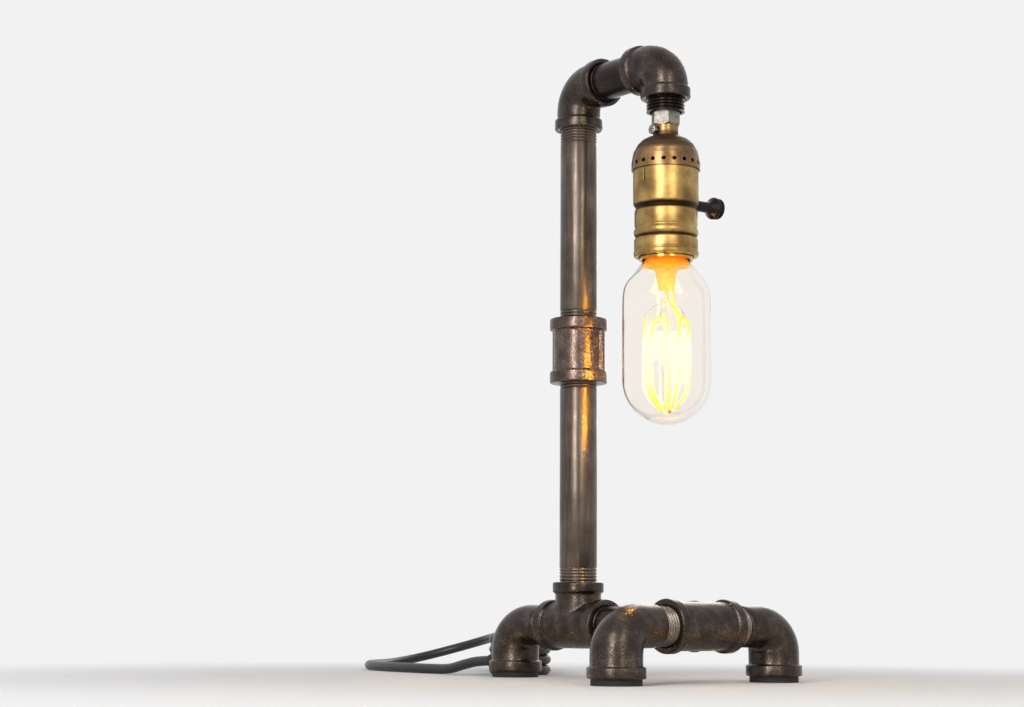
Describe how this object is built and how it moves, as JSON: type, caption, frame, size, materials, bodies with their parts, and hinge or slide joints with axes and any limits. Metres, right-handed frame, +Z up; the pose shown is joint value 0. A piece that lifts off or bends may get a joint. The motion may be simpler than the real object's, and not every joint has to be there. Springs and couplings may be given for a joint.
{
  "type": "industrial pipe table lamp",
  "caption": "Desk lamp of black iron pipe on padded elbow feet, with a swivelling arm, a hanging brass turn-knob socket, a clear tubular filament bulb and a mains cord.",
  "frame": {"origin": "on the table, midway between the feet", "axes": "+Z up the riser; the spine of the base and the arm run towards -Y from the riser; the cross bar and the knob's axis lie along X"},
  "size_m": [0.2602, 0.3887, 0.3543],
  "materials": {
    "black_malleable_iron": "oiled black cast iron, fine grain",
    "dark_steel_pipe": "satin dark lacquered steel",
    "zinc_plated_steel": "bright zinc plate",
    "antique_brass": "satin aged brass",
    "bright_brass": "bright brass",
    "liner_card": "brown insulating card",
    "dark_phenolic": "dark brown moulded phenolic",
    "black_glass": "black vitreous insulator",
    "solder": "solder",
    "clear_glass": "clear glass",
    "glowing_filament": "glowing filament wire",
    "support_wire": "fine bright wire",
    "black_rubber": "matt black rubber",
    "cord_black": "satin black vinyl",
    "lead_black": "black insulated lead",
    "lead_white": "white insulated lead",
    "tie_black": "black strap",
    "plug_brass": "bright brass blades"
  },
  "bodies": {
    "base": {"rear_foot_elbow": "black_malleable_iron", "front_left_foot_elbow": "black_malleable_iron", "front_right_foot_elbow": "black_malleable_iron", "riser_tee": "black_malleable_iron", "cross_tee": "black_malleable_iron", "spine_nipple": "dark_steel_pipe", "lower_riser_pipe": "dark_steel_pipe", "riser_coupling": "black_malleable_iron", "upper_riser_pipe": "dark_steel_pipe", "rear_foot_pad": "black_rubber", "front_left_foot_pad": "black_rubber", "front_right_foot_pad": "black_rubber", "riser_cord": "cord_black", "cord_gland": "black_rubber", "cord_run": "cord_black", "cord_hank": "cord_black", "hank_tie": "tie_black", "plug_lead": "cord_black", "plug_body": "cord_black", "plug_blades": "plug_brass"},
    "arm": {"arm_rear_elbow": "black_malleable_iron", "arm_nipple": "dark_steel_pipe", "arm_front_elbow": "black_malleable_iron", "reducing_bush": "dark_steel_pipe", "lamp_stud": "zinc_plated_steel", "spring_washer": "zinc_plated_steel", "lock_nut": "zinc_plated_steel", "socket_cap": "antique_brass", "cap_set_screw": "bright_brass", "socket_shell": "antique_brass", "shell_liner": "liner_card", "socket_body_lower": "dark_phenolic", "socket_body_upper": "dark_phenolic", "terminal_screws": "bright_brass", "screw_shell": "bright_brass", "centre_contact": "bright_brass", "arm_cord": "cord_black", "live_lead": "lead_black", "neutral_lead": "lead_white"},
    "switch": {"switch_rotor": "dark_phenolic", "switch_knob": "dark_phenolic"},
    "bulb_tip": {"bulb_tip_contact": "solder"},
    "bulb": {"bulb_screw_base": "bright_brass", "bulb_base_insulator": "black_glass", "bulb_glass": "clear_glass", "bulb_stem": "clear_glass", "filament": "glowing_filament", "filament_supports": "support_wire"}
  },
  "joints": [
    {"name": "arm_swivel", "type": "hinge", "parent": "base", "child": "arm", "pos_m": [0, 0.02, 0.3403], "axis": [0, 0, 1], "range_deg": [-60, 60]},
    {"name": "knob_turn", "type": "hinge", "parent": "arm", "child": "switch", "pos_m": [-0.004, -0.0564, 0.2625], "axis": [0.9986, -0.0523, 0], "continuous": true},
    {"name": "bulb_travel", "type": "slide", "parent": "arm", "child": "bulb_tip", "axis": [0, 0, -1], "range_m": [0, 0.02422]},
    {"name": "bulb_turn", "type": "hinge", "parent": "bulb_tip", "child": "bulb", "pos_m": [-0.004, -0.0564, 0.2444], "axis": [0, 0, 1], "range_deg": [0, 2382.8]}
  ],
  "couplings": [
    {"joint": "bulb_travel", "follows": "bulb_turn", "m_per_rad": 0.00057757}
  ]
}
